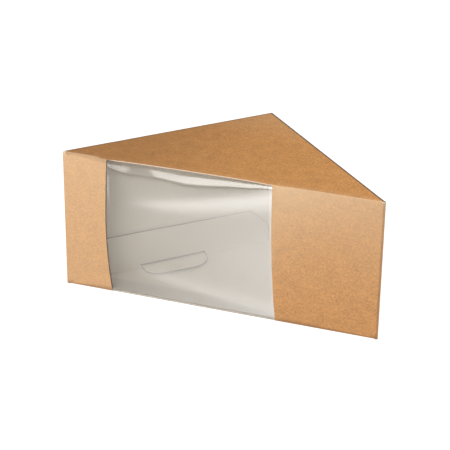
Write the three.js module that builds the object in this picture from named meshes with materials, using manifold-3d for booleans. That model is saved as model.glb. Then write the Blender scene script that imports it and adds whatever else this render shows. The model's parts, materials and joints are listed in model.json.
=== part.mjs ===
// Windowed sandwich box, millimetres, +Z up.
// One sheet of kraft board, brown outside and white inside, is folded into a wedge that lies on a
// triangular side. Its long front has a clear film window, and its left back wall is the lid: it
// hangs from a crease along the top and its tuck tab goes through a slit beside the floor.
// The origin is on the table, in the middle of the wedge's bounding box, and the window faces -Y.

import * as THREE from 'three';
import { mergeVertices } from 'three/addons/utils/BufferGeometryUtils.js';
import Module from 'manifold-3d';

const wasm = await Module();
wasm.setup();

// Driving sizes: the wedge and its board
const legLength = 125;            // each back wall, measured to the sharp corners
const boxHeight = 79;
const boardThickness = 0.5;
const foldRadius = 0.9;           // outside radius of every creased fold
const slipGap = 0.3;              // air between board that slides past board

// Driving sizes: the front and its window
const leftStripWidth = 24.4;
const rightPanelWidth = 57.3;
const windowLip = 1.3;            // board left under the top fold above the window
const sweepHeight = 44;           // above this height the window's sides are upright
const leftSweep = 3.4;            // how far the window's left side drifts right at the floor
const rightSweep = 2.7;
const leftTipCut = 3.8;           // the triangles stop this far short of the front's ends
const rightTipCut = 4.9;
const tipRelief = 0.5;            // the unfolded ends of the front slope down by this much
const nickWidth = 0.4;            // die-cut nick where a front fold ends

// Driving sizes: flaps
const glueFlapWidth = 12;
const glueFlapSlant = 8;          // how much each end of a glue flap leans in
const innerFlapHeight = 19.5;
const innerFlapChamfer = 10.5;
const innerFlapStart = 9;         // from the left corner, along the lid
const backCornerGap = 0.4;        // end of the inner flap to the right back wall

// Driving sizes: lid and tuck tab
const lidFootGap = 0.3;           // the lid hangs this far above the table
const creaseGap = 0.3;            // gap along the middle of the hinge crease
const tabWidth = 38;
const tabDepth = 16;
const tabLeftRadius = 8;
const tabRightRadius = 12;
const tabRelief = 0.4;            // cut beside each end of the tab's fold

// Driving sizes: window film
const filmThickness = 0.15;
const filmBend = 6;               // the springy film turns under the triangles at this radius
const filmFlange = 13;            // how far the film reaches in under the top and over the floor
const filmGlueMargin = 8;         // film glued behind the board at each side of the window
const glueLine = 0.1;             // board to film

// Worked-out sizes
const frontLength = legLength * Math.SQRT2;
const depth = frontLength / 2;
const frontY = -depth / 2;
const leftX = -frontLength / 2;
const rightX = frontLength / 2;
const cornerBlunt = foldRadius * Math.SQRT2;   // a round fold of 45 degrees is this much short
const leftEdgeX = leftX + cornerBlunt;
const rightEdgeX = rightX - cornerBlunt;
const innerFoldRadius = foldRadius - boardThickness;
const windowLeft = leftEdgeX + leftStripWidth;
const windowRight = rightEdgeX - rightPanelWidth;
const windowTop = boxHeight - windowLip;
const creaseInset = boardThickness + slipGap;  // the floor's crease lies this far inside the lid
const cornerAngle = Math.PI / 4;
const beyond = 5;                              // how far cutting shapes reach past the board
const lap = 0.5;                               // how far the sheet's stretches run into each other
const arcSteps = 5;

const colours = { kraft: 0xc79a68, film: 0xe9edf0 };

// A wall's frame: x points out of the box, y up, and z along the wall.
function wallFrame(startX, startY, outX, outY) {
  const out = new THREE.Vector3(outX, outY, 0).normalize();
  const up = new THREE.Vector3(0, 0, 1);
  const along = new THREE.Vector3().crossVectors(out, up);
  return new THREE.Matrix4().makeBasis(out, up, along).setPosition(startX, startY, 0);
}

// Front: from its right end to its left end. Lid: from the left corner to the back corner.
// Right back wall: from the back corner to the right end of the front.
const frontFrame = wallFrame(rightX, frontY, 0, -1);
const lidFrame = wallFrame(leftX, frontY, -1, 1);
const rightFrame = wallFrame(0, frontY + depth, 1, 1);

function toSolid(geometry) {
  geometry.deleteAttribute('normal');
  geometry.deleteAttribute('uv');
  const merged = mergeVertices(geometry, 1e-5);
  return new wasm.Manifold(new wasm.Mesh({
    numProp: 3,
    vertProperties: Float32Array.from(merged.attributes.position.array),
    triVerts: Uint32Array.from(merged.index.array),
  }));
}

function toGeometry(solid) {
  const { vertProperties, triVerts, numProp } = solid.getMesh();
  const positions = new Float32Array(vertProperties.length / numProp * 3);
  for (let i = 0; i < positions.length / 3; i += 1) {
    positions.set(vertProperties.subarray(i * numProp, i * numProp + 3), i * 3);
  }
  const geometry = new THREE.BufferGeometry();
  geometry.setAttribute('position', new THREE.BufferAttribute(positions, 3));
  geometry.setIndex(new THREE.BufferAttribute(triVerts, 1));
  return geometry;
}

function extrude(shape, depthOfShape) {
  return new THREE.ExtrudeGeometry(shape, {
    depth: depthOfShape, bevelEnabled: false, curveSegments: arcSteps, steps: 1,
  });
}

// A shape drawn across a wall, swept from one distance along it to another. It stays in the
// wall's frame.
function sweep(shape, from, to) {
  return toSolid(extrude(shape, to - from).translate(0, 0, from));
}

// A shape drawn on a wall seen from inside the box (x along it, y up), pushed through the board
// from one distance out of the wall to another. It stays in the wall's frame.
function punch(shape, outFrom, outTo) {
  const turn = new THREE.Matrix4().makeBasis(
    new THREE.Vector3(0, 0, 1), new THREE.Vector3(0, 1, 0), new THREE.Vector3(-1, 0, 0),
  );
  return toSolid(extrude(shape, outTo - outFrom).translate(0, 0, -outTo).applyMatrix4(turn));
}

// A shape drawn from above a wall (x along it, y out of it), raised from one height to another.
// It stays in the wall's frame.
function raiseByWall(shape, from, to) {
  const turn = new THREE.Matrix4().makeBasis(
    new THREE.Vector3(0, 0, 1), new THREE.Vector3(1, 0, 0), new THREE.Vector3(0, 1, 0),
  );
  return toSolid(extrude(shape, to - from).translate(0, 0, from).applyMatrix4(turn));
}

// A shape drawn on the ground, raised from one height to another.
function raise(shape, from, to) {
  return toSolid(extrude(shape, to - from).translate(0, 0, from));
}

// What was shaped in a wall's frame, put in its place on the box.
function placed(solid, frame) {
  return toSolid(toGeometry(solid).applyMatrix4(frame));
}

function polygon(...points) {
  return new THREE.Shape(points.map(([x, y]) => new THREE.Vector2(x, y)));
}

// The section of a folded sheet. Its outside follows the corners, the sheet lies to their left,
// and each corner is rounded.
function foldedSection(corners, thickness, radius) {
  const points = corners.map(([x, y]) => new THREE.Vector2(x, y));
  const directions = [];
  for (let i = 1; i < points.length; i += 1) {
    directions.push(points[i].clone().sub(points[i - 1]).normalize());
  }
  const leftOf = (direction) => new THREE.Vector2(-direction.y, direction.x);
  const bends = [];
  for (let i = 1; i < points.length - 1; i += 1) {
    const into = directions[i - 1];
    const away = directions[i];
    const setBack = radius * Math.tan(into.angleTo(away) / 2);
    const centre = points[i].clone().addScaledVector(into, -setBack)
      .addScaledVector(leftOf(into), radius);
    const start = leftOf(into).negate().angle();
    bends.push({ centre, start, end: start + into.angleTo(away) });
  }
  const first = points[0];
  const last = points[points.length - 1];
  const firstInner = first.clone().addScaledVector(leftOf(directions[0]), thickness);
  const lastInner = last.clone().addScaledVector(leftOf(directions.at(-1)), thickness);
  const section = new THREE.Shape();
  section.moveTo(firstInner.x, firstInner.y);
  section.lineTo(first.x, first.y);
  for (const { centre, start, end } of bends) {
    section.absarc(centre.x, centre.y, radius, start, end, false);
  }
  section.lineTo(last.x, last.y);
  section.lineTo(lastInner.x, lastInner.y);
  for (const { centre, start, end } of bends.reverse()) {
    section.absarc(centre.x, centre.y, radius - thickness, end, start, true);
  }
  return section;
}

function joinAll(solids) {
  return solids.reduce((whole, solid) => whole.add(solid));
}

// Top, front and floor in one C-shaped section, cut to the wedge's outline. The top reaches the
// lid's crease, the floor stops inside the lid, and both stop inside the right back wall.
const leftTipX = leftX + leftTipCut;
const rightTipX = rightX - rightTipCut;

function triangleOutline(lidSideInset, rightSideInset) {
  const leftRise = leftTipCut - lidSideInset * Math.SQRT2;
  const rightRise = rightTipCut - rightSideInset * Math.SQRT2;
  const apexX = (lidSideInset - rightSideInset) / Math.SQRT2;
  const apexY = frontY + depth - (lidSideInset + rightSideInset) / Math.SQRT2;
  return polygon(
    [leftTipX, frontY - beyond],
    [rightTipX, frontY - beyond],
    [rightTipX, frontY + rightRise],
    [apexX, apexY],
    [leftTipX, frontY + leftRise],
  );
}

const wrapSection = foldedSection(
  [[-depth, 0], [0, 0], [0, boxHeight], [-depth, boxHeight]], boardThickness, foldRadius,
);
const wrap = placed(sweep(wrapSection, 0, frontLength), frontFrame);
const glueFoldInset = boardThickness + foldRadius;
const topOutline = triangleOutline(foldRadius + lap, glueFoldInset + lap);
const floorOutline = triangleOutline(creaseInset + foldRadius + lap, glueFoldInset + lap);
const middleHeight = boxHeight / 2;
const topAndFront = wrap.intersect(raise(topOutline, middleHeight, boxHeight + beyond));
const floorAndFront = wrap.intersect(raise(floorOutline, -beyond, middleHeight + beyond));

// The rest of the front: it fills out the front between the folds and runs on, unfolded, past
// the triangles' blunt tips to the cut edge at the left and the upright fold at the right.
const uprightFoldReach = foldRadius * Math.tan(3 * cornerAngle / 2);
const frontOutline = polygon(
  [leftEdgeX, tipRelief],
  [leftTipX - nickWidth, 0],
  [leftTipX - nickWidth, foldRadius],
  [rightTipX + nickWidth, foldRadius],
  [rightTipX + nickWidth, 0],
  [rightX - uprightFoldReach - lap, 0],
  [rightX - uprightFoldReach - lap, boxHeight],
  [rightTipX + nickWidth, boxHeight],
  [rightTipX + nickWidth, boxHeight - foldRadius],
  [leftTipX - nickWidth, boxHeight - foldRadius],
  [leftTipX - nickWidth, boxHeight],
  [leftEdgeX, boxHeight - tipRelief],
);
// Front outlines are drawn in world X, so they are measured back from the front's right end.
function onFront(shape) {
  return polygon(...shape.getPoints(12).map(({ x, y }) => [rightX - x, y]).reverse());
}
const frontPanel = placed(punch(onFront(frontOutline), -boardThickness, 0), frontFrame);

// Right back wall with the upright fold that joins it to the front.
const wallSection = foldedSection(
  [[rightX - uprightFoldReach - 2 * lap, frontY], [rightX, frontY], [0, frontY + depth]],
  boardThickness, foldRadius,
);
const rightWall = raise(wallSection, 0, boxHeight);
const cornerReliefs = [0, boxHeight].map((height) => {
  const inward = height === 0 ? tipRelief : -tipRelief;
  const wedge = polygon(
    [rightTipX, height],
    [rightX + beyond, height + inward * (1 + beyond / rightTipCut)],
    [rightX + beyond, height - inward * beyond],
    [rightTipX, height - inward * beyond],
  );
  return placed(punch(onFront(wedge), -rightTipCut, beyond), frontFrame);
});

// Glue flaps of the top and the floor, folded in behind the right back wall. Their ends lean in
// from the ends of their folds.
const glueFlapTo = legLength - rightTipCut * Math.SQRT2 - slipGap;
const glueFlapFrom = creaseInset + foldRadius + slipGap;
const glueBed = 0.04;                         // the glued face is bedded into the wall by this much
function glueFlap(atTop) {
  const face = glueBed - boardThickness;
  const from = -(glueFoldInset + 2 * lap);
  const corners = atTop
    ? [[face, boxHeight - glueFlapWidth], [face, boxHeight], [from, boxHeight]]
    : [[from, 0], [face, 0], [face, glueFlapWidth]];
  const tip = atTop ? boxHeight - glueFlapWidth : glueFlapWidth;
  const root = atTop ? boxHeight - foldRadius - lap : foldRadius + lap;
  const edge = atTop ? boxHeight + beyond : -beyond;
  const outline = polygon(
    [glueFlapFrom, edge], [glueFlapTo, edge], [glueFlapTo, root],
    [glueFlapTo - glueFlapSlant, tip], [glueFlapFrom + glueFlapSlant, tip], [glueFlapFrom, root],
  );
  const section = foldedSection(corners, boardThickness, foldRadius);
  const sheet = sweep(section, glueFlapFrom, glueFlapTo);
  return placed(sheet.intersect(punch(outline, -beyond, beyond)), rightFrame);
}

// Inner flap: it stands up from the floor's crease, just inside the lid, and keeps the filling in.
const innerFlapEnd = legLength - boardThickness - backCornerGap;
const innerFlapFace = -creaseInset;
const innerFlapRoot = innerFlapFace - foldRadius - 2 * lap;
const innerFlapSection = foldedSection(
  [[innerFlapRoot, 0], [innerFlapFace, 0], [innerFlapFace, innerFlapHeight]],
  boardThickness, foldRadius,
);
const innerFlapSheet = sweep(innerFlapSection, innerFlapStart, innerFlapEnd);
const chamferFoot = innerFlapHeight - innerFlapChamfer;
const innerFlapOutline = polygon(
  [innerFlapStart, -beyond],
  [innerFlapEnd, -beyond],
  [innerFlapEnd, chamferFoot],
  [innerFlapEnd - innerFlapChamfer, innerFlapHeight],
  [innerFlapStart + innerFlapChamfer, innerFlapHeight],
  [innerFlapStart, chamferFoot],
);

// The hinge crease at the top of the lid is one round fold, parted along its middle. The lid
// turns about the middle of its outside.
const creaseCentre = new THREE.Vector2(-foldRadius, boxHeight - foldRadius);
const hinge = new THREE.Vector2(foldRadius, 0).rotateAround(new THREE.Vector2(), cornerAngle)
  .add(creaseCentre);
const partingAngle = creaseGap / (foldRadius + innerFoldRadius);

// The tuck tab is curved about the hinge, so it slides out through the slit along itself.
const tabMiddle = legLength / 2;
const tabFrom = tabMiddle - tabWidth / 2;
const tabTo = tabMiddle + tabWidth / 2;
const tabOuterRadius = hinge.y - boardThickness - slipGap;
const tabInnerRadius = tabOuterRadius - boardThickness;
const slitTop = hinge.y - tabInnerRadius + slipGap;
const slitLead = slipGap + tabRelief;
const slit = polygon(
  [tabFrom - slitLead, boardThickness], [tabTo + slitLead, boardThickness],
  [tabTo + slitLead, slitTop], [tabFrom - slitLead, slitTop],
);
const innerFlap = placed(
  innerFlapSheet.intersect(punch(innerFlapOutline, -beyond, beyond))
    .subtract(punch(slit, -beyond, beyond)),
  lidFrame,
);

// Top half of the hinge crease, which belongs to the top.
const topLip = new THREE.Shape();
topLip.moveTo(creaseCentre.x - 2 * lap, boxHeight);
topLip.lineTo(creaseCentre.x - 2 * lap, boxHeight - boardThickness);
topLip.absarc(
  creaseCentre.x, creaseCentre.y, innerFoldRadius, Math.PI / 2, cornerAngle + partingAngle, true,
);
topLip.absarc(
  creaseCentre.x, creaseCentre.y, foldRadius, cornerAngle + partingAngle, Math.PI / 2, false,
);
const creaseFrom = leftTipCut * Math.SQRT2;
const creaseTo = legLength - boardThickness - slipGap;
const hingeLip = placed(sweep(topLip, creaseFrom, creaseTo), lidFrame);

// Window: from the lip under the top fold down to the floor's upper face. Its sides are upright
// at the top and sweep to the right near the floor, each along an arc.
function windowSide(edgeX, drift) {
  const points = [];
  const steps = 10;
  const radius = (sweepHeight ** 2 + drift ** 2) / (2 * drift);
  for (let i = 0; i <= steps; i += 1) {
    const z = sweepHeight + (boardThickness - sweepHeight) * i / steps;
    const fallen = sweepHeight - z;
    points.push([edgeX + radius - Math.sqrt(radius ** 2 - fallen ** 2), z]);
  }
  return points;
}
const windowOutline = polygon(
  [windowLeft, windowTop],
  ...windowSide(windowLeft, leftSweep),
  ...windowSide(windowRight, rightSweep).reverse(),
  [windowRight, windowTop],
);
const windowCut = placed(
  punch(onFront(windowOutline), -foldRadius - boardThickness, beyond), frontFrame,
);

function makeCarton() {
  const wall = rightWall.subtract(joinAll(cornerReliefs));
  const front = frontPanel.subtract(joinAll(cornerReliefs));
  const sheet = joinAll([
    topAndFront, floorAndFront, front, wall, glueFlap(true), glueFlap(false), innerFlap, hingeLip,
  ]);
  return sheet.subtract(windowCut);
}

// Lid: the outer half of the hinge crease, the wall, and the tuck tab at its foot. It stays in
// its wall's frame and is placed as a whole. It starts level with the front's cut left edge, or
// clear of the left strip's inner face.
const lidFrom = Math.max(
  cornerBlunt * Math.SQRT2, boardThickness + (boardThickness + slipGap) * Math.SQRT2,
);
const lidTo = legLength - boardThickness - slipGap;
const tabRootHeight = boardThickness + slipGap;
const tabFoldTop = tabRootHeight + foldRadius;

function lidWall() {
  const section = new THREE.Shape();
  section.moveTo(-boardThickness, lidFootGap);
  section.lineTo(0, lidFootGap);
  section.absarc(creaseCentre.x, creaseCentre.y, foldRadius, 0, cornerAngle - partingAngle, false);
  section.absarc(
    creaseCentre.x, creaseCentre.y, innerFoldRadius, cornerAngle - partingAngle, 0, true,
  );
  const wall = sweep(section, lidFrom, lidTo);
  const notch = polygon(
    [tabFrom - tabRelief, -beyond], [tabTo + tabRelief, -beyond],
    [tabTo + tabRelief, tabFoldTop + lap], [tabFrom - tabRelief, tabFoldTop + lap],
  );
  return wall.subtract(punch(notch, -beyond, beyond));
}

function tuckTab() {
  const reach = Math.asin((tabDepth + hinge.x) / tabOuterRadius);
  const rootAngle = Math.asin((foldRadius + hinge.x) / tabOuterRadius);
  const down = -Math.PI / 2;
  const section = new THREE.Shape();
  section.moveTo(0, tabFoldTop + 2 * lap);
  section.lineTo(-boardThickness, tabFoldTop + 2 * lap);
  section.absarc(-foldRadius, tabFoldTop, innerFoldRadius, 0, down, true);
  for (let i = 1; i <= arcSteps; i += 1) {
    const angle = down - rootAngle - (reach - rootAngle) * i / arcSteps;
    section.lineTo(
      hinge.x + tabInnerRadius * Math.cos(angle), hinge.y + tabInnerRadius * Math.sin(angle),
    );
  }
  for (let i = arcSteps; i >= 1; i -= 1) {
    const angle = down - rootAngle - (reach - rootAngle) * i / arcSteps;
    section.lineTo(
      hinge.x + tabOuterRadius * Math.cos(angle), hinge.y + tabOuterRadius * Math.sin(angle),
    );
  }
  section.absarc(-foldRadius, tabFoldTop, foldRadius, down, 0, false);
  const strip = sweep(section, tabFrom, tabTo);
  const outline = new THREE.Shape();
  outline.moveTo(tabTo, beyond);
  outline.lineTo(tabFrom, beyond);
  outline.absarc(
    tabFrom + tabLeftRadius, tabLeftRadius - tabDepth, tabLeftRadius,
    Math.PI, 3 * Math.PI / 2, false,
  );
  outline.absarc(
    tabTo - tabRightRadius, tabRightRadius - tabDepth, tabRightRadius,
    3 * Math.PI / 2, 2 * Math.PI, false,
  );
  return strip.intersect(raiseByWall(outline, -beyond, boxHeight));
}

function makeLid() {
  return lidWall().add(tuckTab());
}

// Window film: one sheet behind the front that turns in under the top and over the floor.
function makeFilm() {
  const face = -(boardThickness + glueLine);
  const low = boardThickness + glueLine;
  const high = boxHeight - boardThickness - glueLine;
  const section = foldedSection(
    [[-filmFlange, low], [face, low], [face, high], [-filmFlange, high]], filmThickness, filmBend,
  );
  const sheet = sweep(
    section, rightX - windowRight - filmGlueMargin, rightX - windowLeft + filmGlueMargin,
  );
  return placed(sheet, frontFrame);
}

function named(name, solid, material) {
  const geometry = toGeometry(solid);
  geometry.computeVertexNormals();
  const mesh = new THREE.Mesh(geometry, material);
  mesh.name = name;
  return mesh;
}

const box = new THREE.Group();

const cartonBoard = new THREE.MeshStandardMaterial({
  color: colours.kraft, roughness: 0.85, metalness: 0,
});
box.add(named('carton', makeCarton(), cartonBoard));

const lidBoard = new THREE.MeshStandardMaterial({
  color: colours.kraft, roughness: 0.85, metalness: 0,
});
const lidGroup = new THREE.Group();
lidGroup.applyMatrix4(lidFrame);
lidGroup.add(named('lid', makeLid(), lidBoard));
box.add(lidGroup);

const clearFilm = new THREE.MeshStandardMaterial({
  color: colours.film, roughness: 0.08, metalness: 0, transparent: true, opacity: 0.25,
});
box.add(named('window_film', makeFilm(), clearFilm));

export default box;
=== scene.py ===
# %% [markdown]
# # A windowed sandwich box
# The real object is one sheet of kraft board, brown outside and white inside, that is cut,
# creased and folded into a wedge. A clear film is glued behind the window in its long front.
# The solids of the box are already there, in metres, with +Z up and the window facing -Y. They
# give every size below. This scene folds the same blank again as a fine mesh, so that its folds,
# cut edges and surfaces look like board.

# %% Load the solids
import json
import math

import bpy
import bmesh
import numpy as np
from mathutils import Matrix, Vector, noise

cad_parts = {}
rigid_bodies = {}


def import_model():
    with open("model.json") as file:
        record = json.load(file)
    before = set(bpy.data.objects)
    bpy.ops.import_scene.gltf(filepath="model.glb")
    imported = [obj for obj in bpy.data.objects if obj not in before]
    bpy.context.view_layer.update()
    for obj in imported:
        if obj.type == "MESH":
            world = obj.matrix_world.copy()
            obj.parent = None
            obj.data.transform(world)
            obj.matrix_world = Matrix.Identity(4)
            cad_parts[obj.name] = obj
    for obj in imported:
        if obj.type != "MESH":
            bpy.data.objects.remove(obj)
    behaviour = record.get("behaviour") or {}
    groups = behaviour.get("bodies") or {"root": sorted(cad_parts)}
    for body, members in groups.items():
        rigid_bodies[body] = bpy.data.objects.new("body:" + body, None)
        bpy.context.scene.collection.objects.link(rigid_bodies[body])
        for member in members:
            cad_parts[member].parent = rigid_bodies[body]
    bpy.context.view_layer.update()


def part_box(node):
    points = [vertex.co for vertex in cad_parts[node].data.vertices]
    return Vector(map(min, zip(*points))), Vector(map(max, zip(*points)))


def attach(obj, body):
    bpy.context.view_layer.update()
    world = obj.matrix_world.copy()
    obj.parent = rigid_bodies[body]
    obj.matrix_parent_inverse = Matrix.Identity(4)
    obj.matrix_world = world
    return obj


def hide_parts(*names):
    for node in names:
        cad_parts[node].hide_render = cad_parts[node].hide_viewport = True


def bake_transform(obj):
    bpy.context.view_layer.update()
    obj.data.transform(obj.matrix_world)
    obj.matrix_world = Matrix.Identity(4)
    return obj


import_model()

# %% [markdown]
# ## Sizes
# A folding carton is drawn from a few numbers: the length of the two short walls, the height,
# the board's thickness and the radius of a crease. Everything else on the blank is placed from
# them. The outer sizes are read from the solids, so the mesh can't drift away from them.

# %% Sizes of the wedge
MM = 0.001
BOARD = 0.5 * MM
FOLD = 0.9 * MM
SLIP = 0.3 * MM
CARTON_LOW, CARTON_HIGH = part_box("carton")
HEIGHT = CARTON_HIGH.z
DEPTH = CARTON_HIGH.y - CARTON_LOW.y
FRONT_Y = CARTON_LOW.y
LEG = DEPTH * math.sqrt(2)
RIGHT_X = DEPTH
LEFT_X = -DEPTH
CUT_END_X = LEFT_X + FOLD * math.sqrt(2)
print(f"front {2 * DEPTH / MM:.1f} mm, short walls {LEG / MM:.1f} mm, height {HEIGHT / MM:.1f} mm")

# %% Sizes of the window
# Its sides are plumb in their middle part, and sweep to the right towards the foot or the head.
WINDOW_LEFT = CUT_END_X + 23.4 * MM
WINDOW_RIGHT = RIGHT_X - FOLD * math.sqrt(2) - 58.9 * MM
LEFT_SWEEP_TOP = 43 * MM
RIGHT_SWEEP_TOP = 62 * MM
LEFT_FOOT_SWEEP = 3.15 * MM
LEFT_HEAD_SWEEP = 1.25 * MM
RIGHT_FOOT_SWEEP = 3.45 * MM
print(f"window {(WINDOW_RIGHT - WINDOW_LEFT) / MM:.1f} mm wide")

# %% Sizes of the tips, the flaps and the tab
LEFT_TIP = 3.2 * MM
RIGHT_TIP = 2.9 * MM
TIP_RELIEF = 0.25 * MM
NICK = 0.15 * MM
GLUE_FLAP = 12 * MM
GLUE_SLANT = 8 * MM
FLAP_HEIGHT = 20.9 * MM
FLAP_RISE = 1.6 * MM
FLAP_CHAMFER = 11.2 * MM
FLAP_START = 9 * MM
TAB_FROM = 44.2 * MM
TAB_TO = 83.0 * MM
TAB_DEPTH = 15.9 * MM
TAB_SLANT = 1.0 * MM
TAB_LEFT_RADIUS = 8 * MM
TAB_RIGHT_RADIUS = 12.5 * MM
TAB_RELIEF = 0.2 * MM
LID_FOOT = 0.3 * MM
WALL_DROP = 0.5 * MM
BACK_GAP = 0.4 * MM
print(f"tab {(TAB_TO - TAB_FROM) / MM:.1f} mm wide, inner flap {FLAP_HEIGHT / MM:.1f} mm high")

# %% [markdown]
# ## Camera
# The picture is taken with a long lens from the right of the front, looking down by about 27
# degrees. Its place was worked out from the wedge's six corners, in units of the front's length,
# so it follows the size of the box.

# %% Camera
FRONT = CARTON_HIGH.x - CARTON_LOW.x
CAMERA_AZIMUTH = math.radians(18.85)
CAMERA_ELEVATION = math.radians(27.045)
CAMERA_ROLL = math.radians(0.70)
CAMERA_DISTANCE = 4.960 * FRONT
LOOK_AT = Vector((0.0191 * FRONT, FRONT_Y, 0.2964 * FRONT))
PICTURE = 450
FOCAL_PIXELS = 1674


def direction(azimuth, elevation):
    """The way back from a target to what looks at it. Azimuth 0 is in front of the box."""
    return Vector((
        math.sin(azimuth) * math.cos(elevation),
        -math.cos(azimuth) * math.cos(elevation),
        math.sin(elevation),
    ))


def aim(thing, target, azimuth, elevation, distance, roll=0.0):
    back = direction(azimuth, elevation)
    turn = back.to_track_quat("Z", "Y").to_matrix() @ Matrix.Rotation(roll, 3, "Z")
    thing.matrix_world = Matrix.Translation(target + back * distance) @ turn.to_4x4()


def in_scene(name, data):
    """Puts a mesh, a lamp or a camera into the scene as an object."""
    thing = bpy.data.objects.new(name, data)
    bpy.context.scene.collection.objects.link(thing)
    return thing


camera = in_scene("camera", bpy.data.cameras.new("camera"))
bpy.context.scene.camera = camera
camera.data.lens = FOCAL_PIXELS / PICTURE * camera.data.sensor_width
aim(camera, LOOK_AT, CAMERA_AZIMUTH, CAMERA_ELEVATION, CAMERA_DISTANCE, CAMERA_ROLL)
print(f"camera {CAMERA_DISTANCE:.2f} m away, lens {camera.data.lens:.0f} mm")

# %% [markdown]
# ## The blank as a tree of panels
# A modeller could place each wall by hand, but then the folds wouldn't join. A real carton is a
# flat blank whose panels hang on each other by creases, so that is what is built here. Each
# panel is drawn flat in its own coordinates: u runs along its crease, v away from it and w out of
# the box. A crease is a bend of a small radius. Folding a panel means bending it, setting it on
# its parent, and folding the parent in turn until the front is reached, which stands still.

# %% Panels and their creases
QUARTER = math.pi / 2
panels = {"left_strip": {"parent": None}, "right_panel": {"parent": None}}


def hang(name, parent, start, away, bends):
    """Hangs a panel on its parent's flat: start is the crease's beginning, away points beyond it."""
    away = Vector(away).normalized()
    panels[name] = {
        "parent": parent,
        "start": Vector(start),
        "away": away,
        "along": Vector((away.y, -away.x)),
        "bends": bends,
    }


def bend_profile(v, w, start, radius, turn, rigid):
    """Bends the profile (v, w) towards the inside of the box, from v = start on."""
    beyond = v - start
    on_arc = np.full_like(beyond, radius * turn) if rigid else np.clip(beyond, 0, radius * turn)
    angle = on_arc / radius
    rest = beyond - on_arc
    bent_v = start + (radius + w) * np.sin(angle) + rest * np.cos(angle)
    bent_w = -radius + (radius + w) * np.cos(angle) - rest * np.sin(angle)
    return bent_v, bent_w


def fold_up(name, u, v, w, flat=False):
    """World places of a panel's points, folded, or its places on the flat blank."""
    rigid = False
    while panels[name]["parent"] is not None:
        panel = panels[name]
        starts = np.cumsum([0] + [radius * turn for radius, turn in panel["bends"]])
        if not flat:
            for (radius, turn), start in reversed(list(zip(panel["bends"], starts))):
                v, w = bend_profile(v, w, start, radius, turn, rigid)
        u, v = (
            panel["start"].x + u * panel["along"].x + v * panel["away"].x,
            panel["start"].y + u * panel["along"].y + v * panel["away"].y,
        )
        name = panel["parent"]
        rigid = True
    if flat:
        return np.stack([u, v], axis=1)
    return np.stack([u, FRONT_Y - w, v], axis=1)


print("the panels that stand still:", list(panels))

# %% [markdown]
# ## Hanging the panels
# A crease of radius r takes up less board than the sharp corner that it rounds off. The flat
# lengths below allow for that, so that the folded walls still end where the sharp box would.

# %% Creases of the wedge
ARC = FOLD * QUARTER
UPRIGHT_TURN = 3 * math.pi / 4
UPRIGHT_REACH = FOLD * math.tan(UPRIGHT_TURN / 2)
UPRIGHT_ARC = FOLD * UPRIGHT_TURN
FLAT_BACK = ARC - FOLD
CREASE_INSET = BOARD + SLIP
GLUE_INSET = BOARD + FOLD
TAB_RADIUS = 260 * MM
TAB_CURL = (TAB_DEPTH - FOLD) / TAB_RADIUS
TAB_FOLD_TOP = BOARD + SLIP + FOLD
LID_LENGTH = ARC + HEIGHT - FOLD - LID_FOOT
TAB_ROOT = ARC + HEIGHT - FOLD - TAB_FOLD_TOP

hang("top", "left_strip", (0, HEIGHT - FOLD), (0, 1), [(FOLD, QUARTER)])
hang("floor", "left_strip", (0, FOLD), (0, -1), [(FOLD, QUARTER)])
hang("right_wall", "right_panel", (RIGHT_X - UPRIGHT_REACH, HEIGHT), (1, 0), [(FOLD, UPRIGHT_TURN)])

left_corner = Vector((LEFT_X, FLAT_BACK))
back_corner = Vector((0, DEPTH + FLAT_BACK))
lid_way = Vector((-1, 1)).normalized()
wall_way = Vector((1, 1)).normalized()
hang("lid", "top", left_corner - lid_way * FOLD, lid_way, [(FOLD, QUARTER)])
hang("tab", "lid", (0, TAB_ROOT), (0, 1), [(FOLD, QUARTER), (TAB_RADIUS, TAB_CURL)])
hang("top_glue_flap", "top", back_corner - wall_way * GLUE_INSET, wall_way, [(FOLD, QUARTER)])

# The floor is seen from below, so its sideways coordinate runs the other way.
floor_lid_way = Vector((1, 1)).normalized()
floor_wall_way = Vector((-1, 1)).normalized()
floor_right_corner = Vector((-RIGHT_X, FLAT_BACK))
hang("inner_flap", "floor", back_corner - floor_lid_way * (CREASE_INSET + FOLD), floor_lid_way,
     [(FOLD, QUARTER)])
hang("floor_glue_flap", "floor", floor_right_corner - floor_wall_way * GLUE_INSET, floor_wall_way,
     [(FOLD, QUARTER)])
print(len(panels), "panels in the blank")

# %% [markdown]
# ## Outlines
# Each panel gets its cut outline, with a point only where the shape needs one. The window's
# sides are arcs: they start upright and drift to the right near the floor. The upper edge of the
# window is not quite straight, because only a narrow lip of board is left there.

# %% Front and window
LEFT_TIP_X = LEFT_X + LEFT_TIP
RIGHT_TIP_X = RIGHT_X - RIGHT_TIP
RIGHT_RELIEF = TIP_RELIEF * (RIGHT_TIP - UPRIGHT_REACH) / RIGHT_TIP


def window_side(edge, middle, foot_sweep, head_sweep=0.0, steps=26):
    """One side of the window, downwards from the top's fold to the floor's fold."""
    side = []
    for i in range(steps + 1):
        z = HEIGHT - FOLD + (2 * FOLD - HEIGHT) * i / steps
        below = max(0, (middle - z) / middle)
        above = max(0, (z - middle) / (HEIGHT - middle))
        side.append((edge + foot_sweep * below ** 2 + head_sweep * above ** 1.3, z))
    return side


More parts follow.
